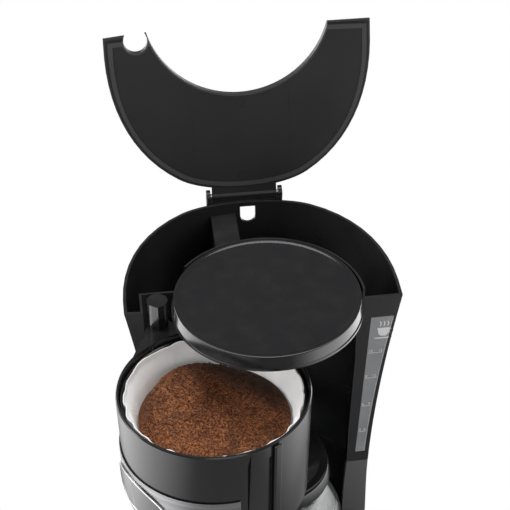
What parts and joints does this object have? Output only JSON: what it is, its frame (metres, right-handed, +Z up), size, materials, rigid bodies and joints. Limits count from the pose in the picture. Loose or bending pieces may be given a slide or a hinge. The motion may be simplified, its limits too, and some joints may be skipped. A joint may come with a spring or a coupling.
{
  "type": "drip coffee maker",
  "caption": "Drip coffee maker with a horseshoe water tank, hinged tank lid, swing-out filter holder, round brew head and glass jug on a hot plate.",
  "frame": {"origin": "on the table, under the middle of the hot plate, at the underside of the centre foot", "axes": "+Z up, +Y towards the back, +X to the right seen from the front"},
  "size_m": [0.2418, 0.3507, 0.4686],
  "materials": {
    "black_satin": "satin",
    "black_gloss": "gloss",
    "grey_satin": "satin",
    "band_metal": "brushed",
    "steel": "satin",
    "badge": "gloss",
    "gauge": "translucent",
    "jug_glass": "clear",
    "paper": "matt",
    "coffee": "granular",
    "rubber": "matt",
    "silicone": "satin",
    "aluminium": "cast",
    "plate_coating": "non-stick",
    "pilot_lens": "translucent"
  },
  "bodies": {
    "housing": {"upper_body": "black_satin", "lower_body": "black_satin", "leg_panel_left": "grey_satin", "leg_panel_right": "grey_satin", "water_gauge": "gauge", "hinge_bracket": "black_satin", "lid_hinge_pin": "steel", "base_shell": "black_satin", "base_cover": "black_satin", "base_screw_1": "steel", "base_screw_2": "steel", "base_screw_3": "steel", "base_screw_4": "steel", "foot_front_left": "rubber", "foot_front_right": "rubber", "foot_rear_left": "rubber", "foot_rear_right": "rubber", "foot_centre": "rubber", "power_switch": "black_satin", "pilot_light": "pilot_lens", "hot_plate": "plate_coating", "plate_seal": "silicone", "flow_heater": "aluminium", "thermostat": "aluminium", "thermal_fuse": "silicone", "check_valve": "silicone", "cold_hose": "silicone", "hot_riser": "silicone", "brew_channel": "black_satin", "shower_plate": "black_satin", "brew_cap": "black_gloss", "pivot_pin": "steel", "cord_bush": "rubber"},
    "power_button": {"power_button": "black_gloss"},
    "filter_holder": {"filter_holder": "black_satin", "holder_band": "band_metal", "holder_badge": "badge", "holder_grip": "black_gloss"},
    "filter_basket": {"filter_basket": "black_satin", "paper_filter": "paper", "coffee_grounds": "coffee"},
    "drip_valve": {"drip_valve": "black_satin", "drip_valve_spring": "steel"},
    "tank_lid": {"tank_lid": "black_satin"},
    "jug": {"jug_glass": "jug_glass", "jug_band": "black_gloss", "jug_handle": "black_satin", "jug_lid": "black_gloss"}
  },
  "joints": [
    {"name": "tank_lid_hinge", "type": "hinge", "parent": "housing", "child": "tank_lid", "pos_m": [0, 0.174, 0.321], "axis": [1, 0, 0], "range_deg": [0, 104]},
    {"name": "holder_swing", "type": "hinge", "parent": "housing", "child": "filter_holder", "pos_m": [-0.087, 0.027, 0.25], "axis": [0, 0, 1], "range_deg": [-15, 44.6]},
    {"name": "basket_lift", "type": "slide", "parent": "filter_holder", "child": "filter_basket", "axis": [0, 0, -1], "range_m": [-0.012, 0]},
    {"name": "drip_valve_lift", "type": "slide", "parent": "filter_holder", "child": "drip_valve", "axis": [0, 0, 1], "range_m": [0, 0.002], "stiffness_N_per_m": 150},
    {"name": "jug_slide", "type": "slide", "parent": "housing", "child": "jug", "axis": [0, -1, 0], "range_m": [0, 0.22]},
    {"name": "power_button_press", "type": "slide", "parent": "housing", "child": "power_button", "axis": [-0.4695, 0.8829, 0], "range_m": [0, 0.0018], "stiffness_N_per_m": 400}
  ]
}
